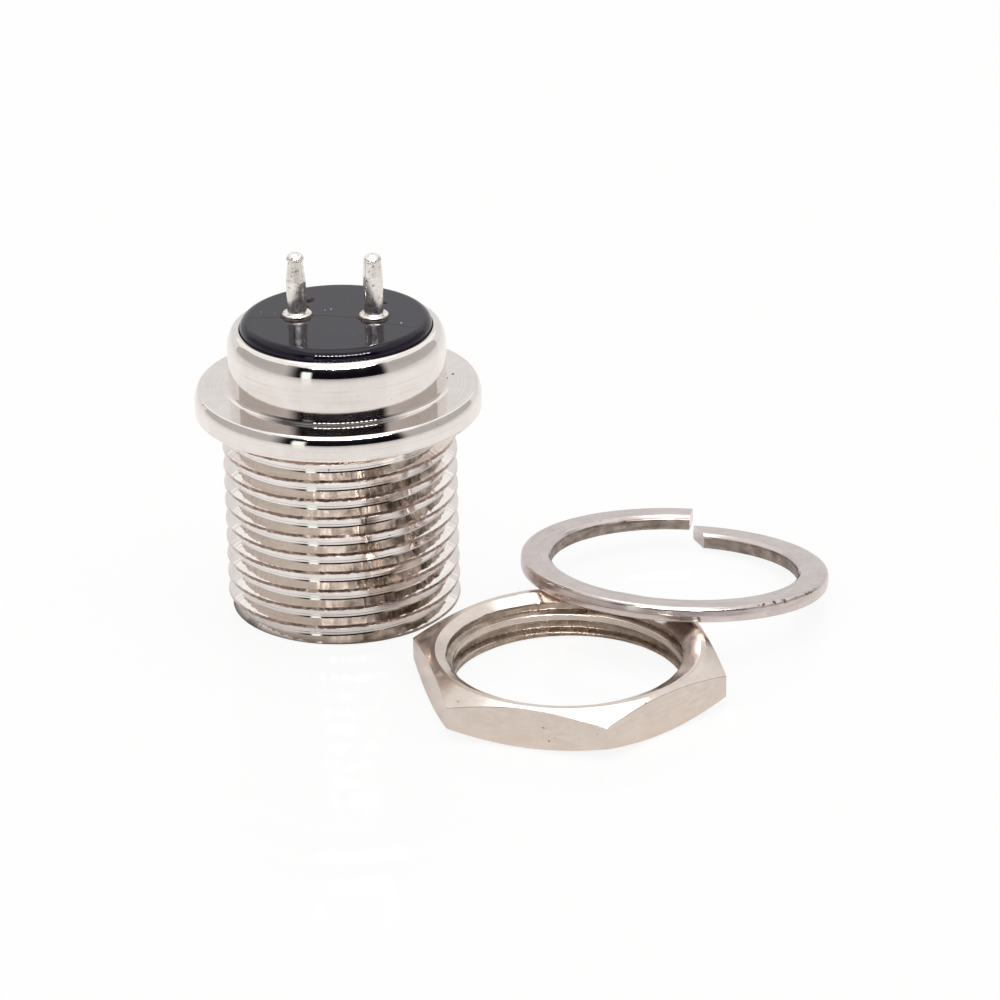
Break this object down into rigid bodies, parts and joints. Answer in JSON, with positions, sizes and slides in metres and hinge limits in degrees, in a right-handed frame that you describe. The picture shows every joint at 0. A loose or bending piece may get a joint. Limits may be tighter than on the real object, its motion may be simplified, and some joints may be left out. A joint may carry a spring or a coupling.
{
  "type": "circular connector panel socket with nut and lock washer",
  "caption": "Nickel-plated round panel socket with a threaded barrel, flange, black insulator and solder pins, beside its thin hexagon nut and split lock washer.",
  "frame": {"origin": "on the barrel's axis, at the flange's underside that meets the panel", "axes": "+Z along the barrel's axis towards the solder tails, the mouth at -Z; X through the two contacts"},
  "size_m": [0.0323, 0.0261, 0.0189],
  "materials": {
    "nickel_shell": "bright nickel plate over turned metal",
    "black_insulator": "glossy moulded",
    "plated_contact": "bright plate, slightly mottled",
    "nickel_nut": "nickel plate, satin flats and bright bevels",
    "plated_washer": "plated spring steel, worn at its edges"
  },
  "bodies": {
    "root": {"shell": "nickel_shell", "insulator": "black_insulator", "contact_left": "plated_contact", "contact_right": "plated_contact", "mounting_nut": "nickel_nut", "lock_washer": "plated_washer"}
  },
  "joints": []
}
